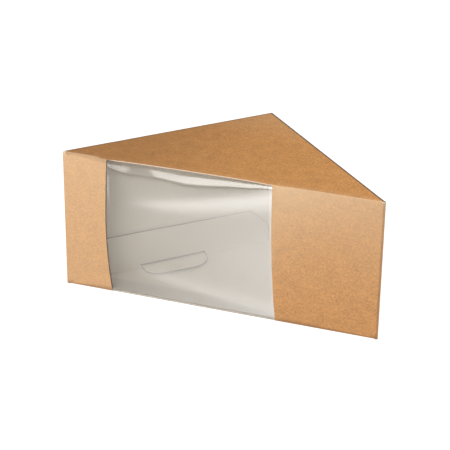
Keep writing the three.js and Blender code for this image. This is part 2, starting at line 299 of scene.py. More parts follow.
left_side = window_side(WINDOW_LEFT, LEFT_SWEEP_TOP, LEFT_FOOT_SWEEP, LEFT_HEAD_SWEEP)
right_side = window_side(WINDOW_RIGHT, RIGHT_SWEEP_TOP, RIGHT_FOOT_SWEEP)
left_outline = [
    (CUT_END_X, TIP_RELIEF),
    (LEFT_TIP_X - NICK, 0),
    (LEFT_TIP_X - NICK, FOLD),
    (LEFT_TIP_X, FOLD),
    *reversed(left_side),
    (LEFT_TIP_X, HEIGHT - FOLD),
    (LEFT_TIP_X - NICK, HEIGHT - FOLD),
    (LEFT_TIP_X - NICK, HEIGHT),
    (CUT_END_X, HEIGHT - TIP_RELIEF),
]
right_outline = [
    *right_side,
    (RIGHT_TIP_X, FOLD),
    (RIGHT_TIP_X + NICK, FOLD),
    (RIGHT_TIP_X + NICK, 0),
    (RIGHT_X - UPRIGHT_REACH, RIGHT_RELIEF),
    (RIGHT_X - UPRIGHT_REACH, HEIGHT - RIGHT_RELIEF),
    (RIGHT_TIP_X + NICK, HEIGHT),
    (RIGHT_TIP_X + NICK, HEIGHT - FOLD),
    (RIGHT_TIP_X, HEIGHT - FOLD),
]
print(len(left_outline), "and", len(right_outline), "points round the two parts of the front")

# %% Top, floor and right wall
SILL_ANGLE = math.radians(78)
LIP_ANGLE = math.radians(65)


def triangle(lid_inset, wall_inset):
    """The blunt corners of a triangle in (x, distance behind the front), as a blank's x and v."""
    root2 = math.sqrt(2)
    return [
        (RIGHT_TIP_X, FLAT_BACK + RIGHT_TIP - wall_inset * root2),
        ((lid_inset - wall_inset) / root2, FLAT_BACK + DEPTH - (lid_inset + wall_inset) / root2),
        (LEFT_TIP_X, FLAT_BACK + LEFT_TIP - lid_inset * root2),
    ]


lip = FOLD * LIP_ANGLE
top_outline = [
    (LEFT_TIP_X, 0), (left_side[0][0], 0), (left_side[0][0], lip),
    (right_side[0][0], lip), (right_side[0][0], 0), (RIGHT_TIP_X, 0),
    *triangle(FOLD, GLUE_INSET),
]
window_foot = left_side[-1][0], right_side[-1][0]
sill = FOLD * SILL_ANGLE
floor_outline = [
    (-x, v)
    for x, v in [
        (LEFT_TIP_X, 0), (window_foot[0], 0), (window_foot[0], sill),
        (window_foot[1], sill), (window_foot[1], 0), (RIGHT_TIP_X, 0),
        *triangle(CREASE_INSET + FOLD, GLUE_INSET),
    ]
]
wall_end = UPRIGHT_ARC + LEG - UPRIGHT_REACH
wall_relief_end = UPRIGHT_ARC + RIGHT_TIP * math.sqrt(2) - UPRIGHT_REACH
wall_outline = [
    (RIGHT_RELIEF, 0), (WALL_DROP, wall_relief_end), (WALL_DROP, wall_end),
    (HEIGHT, wall_end), (HEIGHT, wall_relief_end), (HEIGHT - RIGHT_RELIEF, 0),
]
print("right back wall", round(wall_end / MM, 1), "mm of board")

# %% Lid and tuck tab
LID_FROM = FOLD * 2
LID_TO = LEG - BOARD - SLIP
lid_outline = [
    (LID_FROM, 0), (LID_TO, 0), (LID_TO, LID_LENGTH),
    (TAB_TO + TAB_RELIEF, LID_LENGTH), (TAB_TO + TAB_RELIEF, TAB_ROOT), (TAB_TO, TAB_ROOT),
    (TAB_FROM, TAB_ROOT), (TAB_FROM - TAB_RELIEF, TAB_ROOT),
    (TAB_FROM - TAB_RELIEF, LID_LENGTH), (LID_FROM, LID_LENGTH),
]


def round_corner(centre, radius, start, steps=12):
    """A quarter turn, counterclockwise from the start angle."""
    return [
        (centre[0] + radius * math.cos(start + QUARTER * i / steps),
         centre[1] + radius * math.sin(start + QUARTER * i / steps))
        for i in range(steps + 1)
    ]


tab_end = ARC + TAB_RADIUS * TAB_CURL
tab_outline = [
    (TAB_FROM, 0), (TAB_TO, 0),
    *round_corner((TAB_TO - TAB_RIGHT_RADIUS, tab_end - TAB_RIGHT_RADIUS), TAB_RIGHT_RADIUS, 0),
    *round_corner(
        (TAB_FROM + TAB_LEFT_RADIUS, tab_end - TAB_SLANT - TAB_LEFT_RADIUS), TAB_LEFT_RADIUS, QUARTER
    ),
]
print(f"lid {(LID_TO - LID_FROM) / MM:.1f} mm wide, {len(tab_outline)} points round its tab")

# %% Inner flap with its slit
FLAP_END = LEG - BOARD - BACK_GAP
flap_top = ARC + FLAP_HEIGHT - FOLD
flap_foot = flap_top - FLAP_CHAMFER
flap_outline = [
    (LEG - FLAP_END, 0), (LEG - FLAP_START, 0), (LEG - FLAP_START, flap_foot),
    (LEG - FLAP_START - FLAP_CHAMFER, flap_top + FLAP_RISE),
    (LEG - FLAP_END + FLAP_CHAMFER, flap_top),
    (LEG - FLAP_END, flap_foot),
]
SLIT_LEAD = SLIP + TAB_RELIEF
SLIT_FROM = 0.7 * MM
SLIT_TO = ARC + 0.95 * MM
slit_outline = [
    (LEG - TAB_TO - SLIT_LEAD, SLIT_FROM), (LEG - TAB_FROM + SLIT_LEAD, SLIT_FROM),
    (LEG - TAB_FROM + SLIT_LEAD, SLIT_TO), (LEG - TAB_TO - SLIT_LEAD, SLIT_TO),
]
print(f"slit {(SLIT_TO - SLIT_FROM) / MM:.2f} mm wide")

# %% Glue flaps and all outlines
GLUE_FROM = CREASE_INSET + FOLD + SLIP
GLUE_TO = LEG - RIGHT_TIP * math.sqrt(2) - SLIP
glue_end = ARC + GLUE_FLAP - FOLD


def glue_outline(start, end):
    return [
        (start, 0), (end, 0), (end, ARC), (end - GLUE_SLANT, glue_end),
        (start + GLUE_SLANT, glue_end), (start, ARC),
    ]


outlines = {
    "left_strip": left_outline,
    "right_panel": right_outline,
    "top": top_outline,
    "floor": floor_outline,
    "right_wall": wall_outline,
    "lid": lid_outline,
    "tab": tab_outline,
    "inner_flap": flap_outline,
    "top_glue_flap": glue_outline(GLUE_FROM, GLUE_TO),
    "floor_glue_flap": glue_outline(LEG - GLUE_TO, LEG - GLUE_FROM),
}
print(len(outlines), "outlines")

# %% [markdown]
# ## From an outline to faces
# An outline is filled with triangles and then sliced along straight lines, every few
# millimetres and more closely over a crease. Panels that share a crease are sliced at the same
# places, so their edges meet point to point and can be welded. The dark bands of painted shade
# beside the top's slanting creases need slices of their own, or they would come out ragged.

# %% Fill and slice
# The fill is made in millimetres, because Blender's tools lose detail in very small numbers.
MESH_SCALE = 1 / MM


def ticks(low, high, step):
    """Evenly spaced places between two ends, which they leave out."""
    count = max(1, round((high - low) / step))
    return [low + (high - low) * i / count for i in range(1, count)]


def filled(outline, holes, u_cuts, v_cuts, slant_cuts=()):
    """Points and faces of a flat outline, sliced at the given u and v and along slanting lines."""
    bm = bmesh.new()
    for loop in (outline, *holes):
        corners = [bm.verts.new((u * MESH_SCALE, v * MESH_SCALE, 0)) for u, v in loop]
        for a, b in zip(corners, corners[1:] + corners[:1]):
            bm.edges.new((a, b))
    bmesh.ops.triangle_fill(
        bm, use_beauty=True, use_dissolve=False, edges=bm.edges[:], normal=(0, 0, 1)
    )
    lines = [((1, 0, 0), u) for u in u_cuts] + [((0, 1, 0), v) for v in v_cuts]
    for normal, distance in (*lines, *slant_cuts):
        bmesh.ops.bisect_plane(
            bm, geom=bm.verts[:] + bm.edges[:] + bm.faces[:], dist=1e-4,
            plane_co=Vector(normal) * distance * MESH_SCALE, plane_no=normal,
        )
    bmesh.ops.recalc_face_normals(bm, faces=bm.faces[:])
    bm.verts.index_update()
    points = np.array([v.co[:2] for v in bm.verts]) / MESH_SCALE
    faces = []
    for face in bm.faces:
        ring = [v.index for v in face.verts]
        faces.append(ring if face.normal.z > 0 else ring[::-1])
    bm.free()
    return points, faces


test_square = [(0, 0), (MM, 0), (MM, MM), (0, MM)]
print("a square that is sliced once has", len(filled(test_square, [], [MM / 2], [])[1]), "faces")

# %% Where each panel is sliced
ARC_STEPS = 6
FRONT_STEP = 3 * MM
WALL_STEP = 4 * MM
TAB_STEP = 1.5 * MM


def arc_cuts(arc=ARC):
    return [arc * i / ARC_STEPS for i in range(1, ARC_STEPS + 1)]


front_cuts = ticks(LEFT_X, RIGHT_X, FRONT_STEP)
height_cuts = ticks(0, HEIGHT, FRONT_STEP)
leg_cuts = ticks(0, LEG, WALL_STEP)
deep_cuts = arc_cuts() + ticks(ARC, DEPTH, WALL_STEP)
cuts = {
    "left_strip": (front_cuts, height_cuts),
    "right_panel": (front_cuts, height_cuts),
    "top": (front_cuts, deep_cuts),
    "floor": ([-x for x in front_cuts], deep_cuts),
    "right_wall": ([HEIGHT - z for z in height_cuts],
                   arc_cuts(UPRIGHT_ARC) + ticks(UPRIGHT_ARC, wall_end, WALL_STEP)),
    "lid": (leg_cuts, arc_cuts() + ticks(ARC, LID_LENGTH, WALL_STEP)),
    "tab": (leg_cuts, arc_cuts() + ticks(ARC, tab_end, TAB_STEP)),
    "inner_flap": (leg_cuts, arc_cuts() + ticks(ARC, flap_top, FRONT_STEP)),
    "top_glue_flap": (leg_cuts, arc_cuts()),
    "floor_glue_flap": (leg_cuts, arc_cuts()),
}
print("slices of the front:", len(front_cuts), "across and", len(height_cuts), "up")

# %% The flat blank
BAND_SLICES = {"lid": (0.5, 1.0, 1.6), "top_glue_flap": (0.1, 0.2, 0.3)}  # mm from the crease
holes = {"inner_flap": [slit_outline]}
band_cuts = {"top": []}
for name, distances in BAND_SLICES.items():
    crease_start, crease_way = panels[name]["start"], panels[name]["away"]
    for distance in distances:
        from_origin = crease_start.dot(crease_way) - distance * MM
        band_cuts["top"].append(((*crease_way, 0), from_origin))
blank = {
    name: filled(outlines[name], holes.get(name, []), *cuts[name], band_cuts.get(name, ()))
    for name in outlines
}
print({name: len(faces) for name, (points, faces) in blank.items()})

# %% [markdown]
# ## Rims
# The tab and the inner flap show thin lines of shade along their cut outline, which are painted on
# their white side as a faintly dark rim of painted shade. The rim needs its own narrow ring of faces,
# or its shade would run far into the panel.
# The ring and the middle are filled apart and share their points, which are welded later.

# %% Rims of the tab and the inner flap
RIM = 0.45 * MM
# How dark the painted shade on each rim is.
RIM_SHADE = {"tab": 0.9, "inner_flap": 0.6}


def inset(outline, distance):
    """The outline, moved to the inside by a small distance at each of its corners."""
    moved = []
    for i, here in enumerate(outline):
        before, after = Vector(outline[i - 1]), Vector(outline[(i + 1) % len(outline)])
        here = Vector(here)
        sides = [(here - before).normalized(), (after - here).normalized()]
        normals = [Vector((-side.y, side.x)) for side in sides]
        moved.append(here + (normals[0] + normals[1]) * distance / (1 + normals[0].dot(normals[1])))
    return [tuple(corner) for corner in moved]


def joined(first, second):
    """Two fills in one list. Their shared points stay double until the sheet is welded."""
    count = len(first[0])
    faces = first[1] + [[i + count for i in ring] for ring in second[1]]
    return np.concatenate([first[0], second[0]]), faces


def rim_distance(outline, u, v):
    """How far points of a panel are from its cut outline, which starts with its crease."""
    nearest = np.full_like(u, 1.0)
    ends = outline[2:] + outline[:1]
    for (u0, v0), (u1, v1) in zip(outline[1:], ends):
        length = (u1 - u0) ** 2 + (v1 - v0) ** 2
        share = np.clip(((u - u0) * (u1 - u0) + (v - v0) * (v1 - v0)) / length, 0, 1)
        away = np.hypot(u - u0 - share * (u1 - u0), v - v0 - share * (v1 - v0))
        nearest = np.minimum(nearest, away)
    return nearest


for name in RIM_SHADE:
    inner_ring = inset(outlines[name], RIM)
    blank[name] = joined(
        filled(inner_ring, holes.get(name, []), *cuts[name]),
        filled(outlines[name], [inner_ring], *cuts[name]),
    )
    print(name, len(blank[name][1]), "faces with its rim")

# %% [markdown]
# ## How the folded board settles
# Board this thin never stays quite flat. The narrow lip above the window dips at the window's
# corners and rises between them, and the wide right panel bows by a fraction of a millimetre.
# Sculpting would do it too, but a formula gives both faces of the board the same small movement,
# so its thickness stays true.

# %% Settling of the board
PANEL_BOW = 0.3 * MM
LEFT_DIP, LEFT_DIP_BEFORE, LEFT_DIP_AFTER = 1.0 * MM, 3.4 * MM, 20 * MM
RIGHT_DIP, RIGHT_DIP_REACH = 0.45 * MM, 9 * MM
DIP_DEPTH, DIP_HEIGHT = 14 * MM, 9 * MM


def bump(x, middle, reach):
    """1 at the middle, falling off smoothly on both sides."""
    return np.exp(-((x - middle) / reach) ** 2)


def ramp(x, start, reach):
    """0 up to the start, then rising evenly to 1."""
    return np.clip((x - start) / reach, 0, 1)


def lip_drop(x, y, z):
    """How far the board has sunk round the window's upper corners."""
    past_left = x - WINDOW_LEFT
    left = np.where(
        past_left < 0,
        bump(x, WINDOW_LEFT, LEFT_DIP_BEFORE),
        np.exp(-np.abs(past_left) / LEFT_DIP_AFTER),
    )
    drop = LEFT_DIP * left + RIGHT_DIP * bump(x, WINDOW_RIGHT, RIGHT_DIP_REACH)
    return drop * bump(y, FRONT_Y, DIP_DEPTH) * bump(z, HEIGHT, DIP_HEIGHT)


def settled(points):
    """Moves folded points by the small unevenness of real board, always towards the inside."""
    x, y, z = points.T
    across = np.sin(math.pi * ramp(z, 0, HEIGHT))
    on_front = bump(y, FRONT_Y, 1.5 * MM)
    along = np.sin(math.pi * ramp(x, WINDOW_RIGHT, RIGHT_X - WINDOW_RIGHT))
    return np.stack([x, y + PANEL_BOW * across * on_front * along, z - lip_drop(x, y, z)], axis=1)


print(f"the lip dips by {float(lip_drop(WINDOW_LEFT, FRONT_Y, HEIGHT)) / MM:.1f} mm at most")

# %% [markdown]
# ## Painted shade and painted sheen on the board
# The creases at the back of the top and the folds at the right wall and the floor lie in shade, and
# that shade is painted on as dark lines. The front is painted paler towards its top as a painted
# sheen, the top gets painted light near its tips, and the crest of the front's upper fold gets a
# painted highlight. These tones follow the creases, so they are worked out from the distance to each
# crease. They are stored on the mesh as one number per corner, which the board materials read.

# %% Painted shade at the creases
# Painted shade for each crease: how dark it is, and how far it runs back on to the parent and ahead.
CREASE_SHADE = {
    "lid": (0.7, 0.8 * MM, 0.7 * MM),
    "top_glue_flap": (0.85, 0.15 * MM, 0.5 * MM),
    "right_wall": (0.3, 0.3 * MM, 1.0 * MM),
    "floor": (0.5, 0.2 * MM, 0.7 * MM),
}
# The same painted shade for the white side. The tab's fold lies in the shade of its slit, and the
# inner flap's crease in a faint shade.
WHITE_SIDE_SHADE = {
    "tab": (1.0, 1.4 * MM, 2.4 * MM),
    "inner_flap": (0.12, 0.8 * MM, 0.8 * MM),
}
# Painted shade: the top's left end is a little darker than the rest of it, where it gets less light.
LEFT_END_SHADE, LEFT_END_FROM, LEFT_END_REACH = 0.28, 5 * MM, 60 * MM


def painted_crease_shade(panel, u, v, table):
    """Painted shade: how dark the board is near its own crease and its children's, at the top's left
    end and on the rims.
    """
    tone = np.zeros_like(u)
    if panel in table:
        strength, back, ahead = table[panel]
        tone = np.maximum(tone, strength * bump(v, 0, ahead))
    for name, (strength, back, ahead) in table.items():
        child = panels[name]
        roots = ("left_strip", "right_panel")
        if child["parent"] != panel and not (panel in roots and child["parent"] in roots):
            continue
        before = -((u - child["start"].x) * child["away"].x + (v - child["start"].y) * child["away"].y)
        tone = np.maximum(tone, strength * bump(np.clip(before, 0, None), 0, back))
    if panel == "top" and table is CREASE_SHADE:
        tone = np.maximum(tone, LEFT_END_SHADE * ramp(-u, -LEFT_END_FROM, LEFT_END_REACH))
    if panel in RIM_SHADE and table is WHITE_SIDE_SHADE:
        on_rim = rim_distance(outlines[panel], u, v) < RIM / 2
        tone = np.maximum(tone, RIM_SHADE[panel] * on_rim)
    return tone


print("dark creases outside:", list(CREASE_SHADE), "and inside:", list(WHITE_SIDE_SHADE))

# %% Shaded tips, painted sheen and painted highlight
# Painted highlight on the front's crest, and painted sheen on the front and towards the top's back.
CREST_HIGHLIGHT, CREST_REACH = 1.7, 0.5 * MM
STRIP_SHEEN, STRIP_RISE = 0.48, 0.25
PANEL_SHEEN, PANEL_RISE = 0.1, 0.9
CORNER_FADE = 0.35
BACK_SHEEN = 0.2
TIP_SHADE, TIP_REACH, TIP_DEPTH = 0.8, 4 * MM, 3 * MM


def tip_shade(x, y, z):
    """The white side is in deep shade inside the top's two sharp tips."""
    to_tip = np.minimum(np.hypot(x - LEFT_X, y - FRONT_Y), np.hypot(x - RIGHT_X, y - FRONT_Y))
    return TIP_SHADE * bump(to_tip, 0, TIP_REACH) * bump(z, HEIGHT, TIP_DEPTH)


def painted_sheen_share(x, y, z):
    """Painted sheen and highlight: how much paler the board is on the front towards its top, on its
    crest, and at the top's tips.
    """
    on_front = bump(y, FRONT_Y, 0.7 * MM)
    up = ramp(z, 0, HEIGHT)
    on_right = ramp(x, WINDOW_RIGHT, 2 * MM)
    to_corner = ramp(x, WINDOW_RIGHT, RIGHT_X - WINDOW_RIGHT)
    front = on_right * (PANEL_SHEEN + PANEL_RISE * up ** 1.8) * (1 - CORNER_FADE * to_corner)
    front += (1 - on_right) * (STRIP_SHEEN + STRIP_RISE * up ** 2)
    # Painted light on the top near its two tips.
    right_tip = np.clip(0.8 - (RIGHT_X - x) / (5 * MM), 0, 1)
    left_tip = np.clip(1.2 - (x - LEFT_X) / (4 * MM), 0, 1)
    top = right_tip + left_tip + BACK_SHEEN * ramp(y, 5 * MM, 30 * MM)
    from_crest = np.hypot(y - FRONT_Y, HEIGHT - z - lip_drop(x, y, z))
    crest = CREST_HIGHLIGHT * bump(from_crest, 0, CREST_REACH)
    return np.maximum(np.clip(on_front * front + (1 - on_front) * top, 0, 1), crest)


strip_head = float(painted_sheen_share(LEFT_X / 2, FRONT_Y, HEIGHT - 5 * MM))
print(f"the left strip is rubbed {strip_head:.2f} pale near its head")

# %% [markdown]
# ## Painted shade on the cut edges
# The cut edges aren't alike. The top edge of the long back wall lies in shade and is painted dark,
# and so are the tab's and the inner flap's edges, the sill, the window's left edge and the left
# strip's end, while the window's upper and right edges are pale. Each edge could have a material
# of its own, but one number picks its painted shade just as well.

# %% Cut edges
PAINTED_EDGE_SHADE = {
    "sill": 0.65,
    "flaps": 0.9,
    "right_wall": 1.0,
    "window_left": 0.8,
    "left_strip": 0.45,
    "elsewhere": 0.05,
}


def deep_inside(x, y, z):
    """Whether a cut edge belongs to the tab or to the inner flap."""
    from_lid = (x - LEFT_X - (y - FRONT_Y)) / math.sqrt(2)
    from_wall = (RIGHT_X - x - (y - FRONT_Y)) / math.sqrt(2)
    return y > FRONT_Y + 3 * MM and 0.4 * MM < z < 40 * MM and min(from_lid, from_wall) > 0.6 * MM


def at_sill(x, y, z):
    return z < 0.5 * MM and WINDOW_LEFT < x < WINDOW_RIGHT + RIGHT_FOOT_SWEEP and y < FRONT_Y + FOLD


def painted_edge_shade(x, y, z):
    """Painted shade: how dark a cut edge is, from where it lies on the folded box."""
    if at_sill(x, y, z):
        return PAINTED_EDGE_SHADE["sill"]
    if deep_inside(x, y, z):
        paler_to_the_back = 0.0 if z < 3 * MM else 0.2 * ramp(y, 0, 40 * MM)
        return PAINTED_EDGE_SHADE["flaps"] - paler_to_the_back
    to_right_wall = abs(x + (y - FRONT_Y) - RIGHT_X) / math.sqrt(2)
    if to_right_wall < 0.8 * MM and (z > HEIGHT - 1 * MM or z < 1 * MM):
        return PAINTED_EDGE_SHADE["right_wall"]
    if abs(y - FRONT_Y) < 0.8 * MM and FOLD < z < HEIGHT - FOLD:
        if abs(x - WINDOW_LEFT) < 5 * MM:
            return PAINTED_EDGE_SHADE["window_left"]
        if x < WINDOW_LEFT:
            return PAINTED_EDGE_SHADE["left_strip"]
    return PAINTED_EDGE_SHADE["elsewhere"]


print(len(PAINTED_EDGE_SHADE), "kinds of cut edge")

# %% [markdown]
# ## Board with two faces and a cut edge
# Instead of a Solidify modifier, the inner face is folded by itself at the board's thickness.
# It then has the tighter radius of the inside of a crease. The border of the sheet is closed by
# a strip of faces, which shows the cut edge. The flat blank is kept as the UV map, because the
# fibres of the board run on over every fold.

# %% Fold the panels and weld them
def welded(sheets):
    """Folded points, flat places, tones and faces. A sheet is a list of panels that are joined."""
    board = {"outer": [], "inner": [], "flat": [], "brown": [], "white": []}
    number_of, faces = {}, []
    for sheet_number, sheet in enumerate(sheets):
        for panel in sheet:
            points, rings = blank[panel]
            u, v = points.T
            folded = settled(fold_up(panel, u, v, np.zeros_like(u)))
            made = {
                "outer": folded,
                "inner": settled(fold_up(panel, u, v, np.full_like(u, -BOARD))),
                "flat": fold_up(panel, u, v, np.zeros_like(u), flat=True),
                "brown": painted_crease_shade(panel, u, v, CREASE_SHADE),
                "white": np.maximum(painted_crease_shade(panel, u, v, WHITE_SIDE_SHADE), tip_shade(*folded.T)),
            }
            numbers = []
            for i, place in enumerate(made["flat"]):
                key = (sheet_number, *np.round(place / MM, 2))
                k = number_of.setdefault(key, len(number_of))
                numbers.append(k)
                if k == len(board["outer"]):
                    for part in board:
                        board[part].append(made[part][i])
                for tone in ("brown", "white"):
                    board[tone][k] = max(board[tone][k], made[tone][i])
            for ring in rings:
                corners = [numbers[i] for i in ring]
                corners = [c for i, c in enumerate(corners) if c != corners[i - 1]]
                if len(corners) > 2:
                    faces.append(corners)
    return board, faces


print("blank panels to fold:", len(blank))


# %% Close the sheet and tone its edges
def closed(faces, count):
    """The faces of both sides of a board, with a strip round its cut border, and that border."""
    sides = dict.fromkeys(side for ring in faces for side in zip(ring, ring[1:] + ring[:1]))
    border = [(a, b) for a, b in sides if (b, a) not in sides]
    rings = faces + [[i + count for i in reversed(ring)] for ring in faces]
    rings += [[b, a, a + count, b + count] for a, b in border]
    return rings, border


def store(mesh, name, domain, values):
    """Keeps numbers on a mesh under a name that a material can read."""
    mesh.attributes.new(name, "FLOAT", domain).data.foreach_set("value", values)


KRAFT_FACE, WHITE_FACE, CUT_EDGE = 0, 1, 2


def tone_edges(mesh, dark, corners, outer):
    """Gives cut edges their painted shade. Those deep inside the box look like its white side."""
    for polygon in mesh.polygons:
        if polygon.material_index == CUT_EDGE:
            for loop in polygon.loop_indices:
                dark[loop] = painted_edge_shade(*outer[corners[loop] % len(outer)])
            first = outer[corners[polygon.loop_start] % len(outer)]
            if at_sill(*first) or deep_inside(*first):
                polygon.material_index = WHITE_FACE


print("materials of a board: outside", KRAFT_FACE, "inside", WHITE_FACE, "and cut", CUT_EDGE)

# %% Build a folded board
UV_PER_METRE = 2.5


def folded_board(name, sheets, materials):
    """One mesh of board, with its flat blank as UV map and its tones as attributes."""
    board, faces = welded(sheets)
    outer, inner = board["outer"], board["inner"]
    count = len(outer)
    rings, border = closed(faces, count)
    mesh = bpy.data.meshes.new(name)
    mesh.from_pydata([tuple(p) for p in outer + inner], [], rings)
    kinds = [KRAFT_FACE] * len(faces) + [WHITE_FACE] * len(faces) + [CUT_EDGE] * len(border)
    mesh.polygons.foreach_set("material_index", kinds)
    mesh.polygons.foreach_set("use_smooth", [kind != CUT_EDGE for kind in kinds])
    corners = np.empty(len(mesh.loops), dtype=np.int32)
    mesh.loops.foreach_get("vertex_index", corners)
    spread = np.array(board["flat"] * 2) * UV_PER_METRE + 0.5
    mesh.uv_layers.new(name="blank").data.foreach_set("uv", spread[corners].ravel())
    dark = np.array(board["brown"] + board["white"])[corners]
    tone_edges(mesh, dark, corners, outer)
    store(mesh, "dark", "CORNER", dark)
    store(mesh, "pale", "CORNER", painted_sheen_share(*np.array(outer + inner).T)[corners])
    cut = {frozenset(side) for side in border}
    cut |= {frozenset((a + count, b + count)) for a, b in border}
    for edge in mesh.edges:
        edge.use_edge_sharp = frozenset(edge.vertices) in cut
    for material in materials:
        mesh.materials.append(material)
    mesh.validate()
    print(name, len(mesh.vertices), "points,", len(mesh.polygons), "faces")
    return in_scene(name, mesh)


print("one UV tile covers", 1 / UV_PER_METRE, "m of the blank")

# %% [markdown]
# ## Materials
# Kraft board is pressed from short brown fibres, so its colour is never even: it is mottled at
# about a millimetre, a little cloudy over some millimetres, and crossed by fine hairs and a few dark
# specks. These are made once, as a node group that puts out masks and a height, and each face of
# the board takes them in its own colours and strengths.

# %% Node helpers
def add_node(tree, kind, **values):
    """Adds a node. Values go to its inputs or, where it has no such input, to its settings."""
    node = tree.nodes.new(kind)
    for key, value in values.items():
        if key in node.inputs:
            node.inputs[key].default_value = value
        else:
            setattr(node, key, value)
    return node


def new_group(name, inputs, outputs):
    group = bpy.data.node_groups.new(name, "ShaderNodeTree")
    for label, (kind, value) in inputs.items():
        socket = group.interface.new_socket(label, in_out="INPUT", socket_type=kind)
        if value is not None:
            socket.default_value = value
    for label in outputs:
        group.interface.new_socket(label, in_out="OUTPUT", socket_type="NodeSocketFloat")
    return group, group.nodes.new("NodeGroupInput"), group.nodes.new("NodeGroupOutput")


def arithmetic(tree, operation, *terms, **settings):
    """The result of a Math node. Each term is a number, or the socket that gives it."""
    node = add_node(tree, "ShaderNodeMath", operation=operation, **settings)
    for socket, term in zip(node.inputs, terms):
        if isinstance(term, bpy.types.NodeSocket):
            tree.links.new(term, socket)
        else:
            socket.default_value = term
    return node.outputs["Value"]


def stretched(tree, value, from_low, from_high, to_low=0.0, to_high=1.0):
    """The result of a Map Range node: a value between two ends, moved between two others."""
    node = add_node(tree, "ShaderNodeMapRange", clamp=True)
    ends = {"From Min": from_low, "From Max": from_high, "To Min": to_low, "To Max": to_high}
    for label, end in ends.items():
        node.inputs[label].default_value = end
    tree.links.new(value, node.inputs["Value"])
    return node.outputs["Result"]


# %% Fibres of pressed board
PER_MM = 1 / (UV_PER_METRE * MM)
HAIR_TURNS = (0.4, 1.3, 2.5)
HAIR_SQUEEZE = 0.12
SPECK_SPACING = 1.3


def fibre_group():
    """Mottling, clouds, hairs and specks of pressed board, as masks from 0 to 1, and a height."""
    group, inside, outside = new_group(
        "board_fibres",
        {
            "Place": ("NodeSocketVector", None),
            "Mottle Size": ("NodeSocketFloat", 1.6),
            "Cloud Size": ("NodeSocketFloat", 14.0),
            "Speck Share": ("NodeSocketFloat", 0.1),
        },
        ("Mottle", "Clouds", "Hairs", "Specks", "Height"),
    )
    link = group.links.new

    def noise_of(size, **settings):
        texture = add_node(group, "ShaderNodeTexNoise", **settings)
        link(inside.outputs["Place"], texture.inputs["Vector"])
        link(arithmetic(group, "DIVIDE", PER_MM, size), texture.inputs["Scale"])
        return texture.outputs["Fac"]

    mottle = noise_of(inside.outputs["Mottle Size"], Detail=4.0, Roughness=0.7, Distortion=0.5)
    clouds = noise_of(inside.outputs["Cloud Size"], Detail=3.0, Roughness=0.5)
    link(mottle, outside.inputs["Mottle"])
    link(clouds, outside.inputs["Clouds"])

    hairs = 0.0
    for turn in HAIR_TURNS:
        squeeze = add_node(group, "ShaderNodeMapping", vector_type="POINT")
        squeeze.inputs["Rotation"].default_value = (0.0, 0.0, turn)
        squeeze.inputs["Scale"].default_value = (1.0, HAIR_SQUEEZE, 1.0)
        link(inside.outputs["Place"], squeeze.inputs["Vector"])
        strands = add_node(group, "ShaderNodeTexNoise", Scale=PER_MM * 2.4, Detail=1.0, Distortion=1.5)
        link(squeeze.outputs["Vector"], strands.inputs["Vector"])
        ridge = stretched(group, strands.outputs["Fac"], 0.62, 0.78)
        hairs = arithmetic(group, "MAXIMUM", hairs, ridge)
    link(hairs, outside.inputs["Hairs"])

    cells = add_node(group, "ShaderNodeTexVoronoi", feature="F1", Scale=PER_MM / SPECK_SPACING)
    link(inside.outputs["Place"], cells.inputs["Vector"])
    close = stretched(group, cells.outputs["Distance"], 0.12, 0.3, 1.0, 0.0)
    chosen = arithmetic(group, "LESS_THAN", cells.outputs["Color"], inside.outputs["Speck Share"])
    link(arithmetic(group, "MULTIPLY", close, chosen), outside.inputs["Specks"])
    link(arithmetic(group, "MULTIPLY_ADD", hairs, 0.6, mottle), outside.inputs["Height"])
    return group


board_fibres = fibre_group()
print("node group", board_fibres.name, "with", len(board_fibres.nodes), "nodes")


# %% [markdown]
# ## Brown outside, white inside and the cut between
# The liner outside is brown kraft, the liner inside is coated white, and the cut shows the rough
# middle layer. They could be three unlike materials, but all are pressed fibre, so one recipe
# makes the three. It mottles two close colours and lays the hairs and specks on them. Then it lays
# on the painted sheen and highlight and the painted shade of creases and edges, which it reads from
# the mesh.

# %% One recipe for board
SPECK_STRENGTH = 0.6
SHEEN_PAINT_STRENGTH = 0.62
CLOUD_SIZE = 6.0
ROUGH_SPREAD = 0.06


def mixed_colour(tree, mask, first, second, amount=1.0):
    """A colour that goes from first to second with a mask. Second is a plain colour."""
    mix = add_node(tree, "ShaderNodeMix", data_type="RGBA")
    mix.inputs["B"].default_value = (*second, 1)
    tree.links.new(first, mix.inputs["A"])
    tree.links.new(arithmetic(tree, "MULTIPLY", mask, amount), mix.inputs["Factor"])
    return mix.outputs["Result"]


